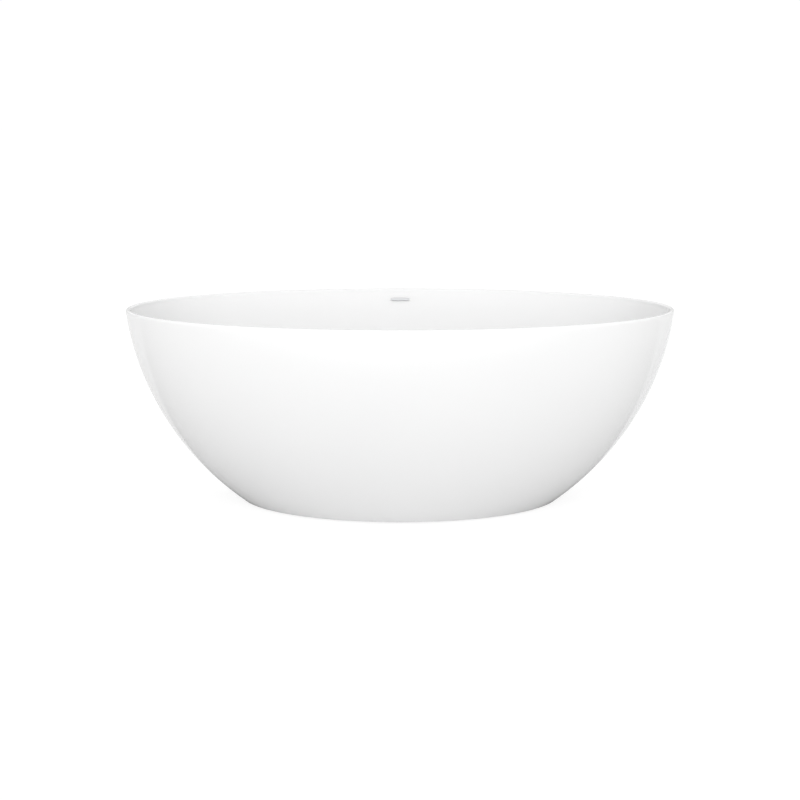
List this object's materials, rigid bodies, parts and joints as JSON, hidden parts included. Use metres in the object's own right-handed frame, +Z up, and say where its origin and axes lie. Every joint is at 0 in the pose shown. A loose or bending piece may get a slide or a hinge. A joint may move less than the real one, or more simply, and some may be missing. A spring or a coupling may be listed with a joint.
{
  "type": "freestanding bathtub",
  "caption": "Oval double-ended freestanding bath with a thin rim, two joined skins, a levelled steel frame, a click-clack waste and a slim overflow.",
  "frame": {"origin": "on the floor plane, under the middle of the bath", "axes": "+Z up; +X along the bath's length, to the right for someone facing the overflow wall; +Y towards the overflow wall"},
  "size_m": [1.65, 0.78, 0.59],
  "materials": {
    "white_acrylic": "gloss",
    "chrome": "polished",
    "brass": "turned",
    "zinc_steel": "zinc plated",
    "frame_paint": "powder coated",
    "sealed_board": "sealed fibreboard",
    "black_rubber": "matt",
    "bonding": "cured adhesive",
    "grey_moulding": "moulded",
    "hose_plastic": "ribbed hose"
  },
  "bodies": {
    "bath": {"inner_basin": "white_acrylic", "outer_skirt": "white_acrylic", "rim_bonding_bead": "bonding", "base_board": "sealed_board", "front_rail": "frame_paint", "rear_rail": "frame_paint", "cross_member_left_end": "frame_paint", "cross_member_left_middle": "frame_paint", "cross_member_right_middle": "frame_paint", "cross_member_right_end": "frame_paint", "board_screw_front_left": "zinc_steel", "board_screw_front_right": "zinc_steel", "board_screw_rear_left": "zinc_steel", "board_screw_rear_right": "zinc_steel", "skirt_strap_front_left": "frame_paint", "skirt_strap_front_right": "frame_paint", "skirt_strap_rear_left": "frame_paint", "skirt_strap_rear_right": "frame_paint", "strap_pad_front_left": "bonding", "strap_pad_front_right": "bonding", "strap_pad_rear_left": "bonding", "strap_pad_rear_right": "bonding", "foot_plate_front_left": "frame_paint", "foot_plate_front_right": "frame_paint", "foot_plate_rear_left": "frame_paint", "foot_plate_rear_right": "frame_paint", "foot_nut_front_left": "zinc_steel", "foot_nut_front_right": "zinc_steel", "foot_nut_rear_left": "zinc_steel", "foot_nut_rear_right": "zinc_steel", "drain_flange": "chrome", "drain_upper_gasket": "black_rubber", "drain_lower_gasket": "black_rubber", "drain_lock_nut": "brass", "waste_body": "grey_moulding", "tailpiece": "grey_moulding", "tailpiece_nut": "grey_moulding", "plug_cartridge": "brass", "plug_spring": "zinc_steel", "overflow_bar": "chrome", "overflow_gasket": "black_rubber", "overflow_housing": "grey_moulding", "overflow_bridge": "zinc_steel", "overflow_hose": "hose_plastic", "hose_clip_top": "zinc_steel", "hose_clip_bottom": "zinc_steel"},
    "plug": {"plug_cap": "chrome", "plug_seal": "black_rubber", "plug_stem": "brass"},
    "foot_front_left": {"foot_stud_front_left": "zinc_steel", "foot_pad_front_left": "black_rubber"},
    "foot_front_right": {"foot_stud_front_right": "zinc_steel", "foot_pad_front_right": "black_rubber"},
    "foot_rear_left": {"foot_stud_rear_left": "zinc_steel", "foot_pad_rear_left": "black_rubber"},
    "foot_rear_right": {"foot_stud_rear_right": "zinc_steel", "foot_pad_rear_right": "black_rubber"}
  },
  "joints": [
    {"name": "plug_lift", "type": "slide", "parent": "bath", "child": "plug", "axis": [0, 0, 1], "range_m": [0, 0.009], "deforming": ["plug_spring"]},
    {"name": "foot_front_left_level", "type": "slide", "parent": "bath", "child": "foot_front_left", "axis": [0, 0, -1], "range_m": [-0.004, 0.02]},
    {"name": "foot_front_right_level", "type": "slide", "parent": "bath", "child": "foot_front_right", "axis": [0, 0, -1], "range_m": [-0.004, 0.02]},
    {"name": "foot_rear_left_level", "type": "slide", "parent": "bath", "child": "foot_rear_left", "axis": [0, 0, -1], "range_m": [-0.004, 0.02]},
    {"name": "foot_rear_right_level", "type": "slide", "parent": "bath", "child": "foot_rear_right", "axis": [0, 0, -1], "range_m": [-0.004, 0.02]}
  ]
}
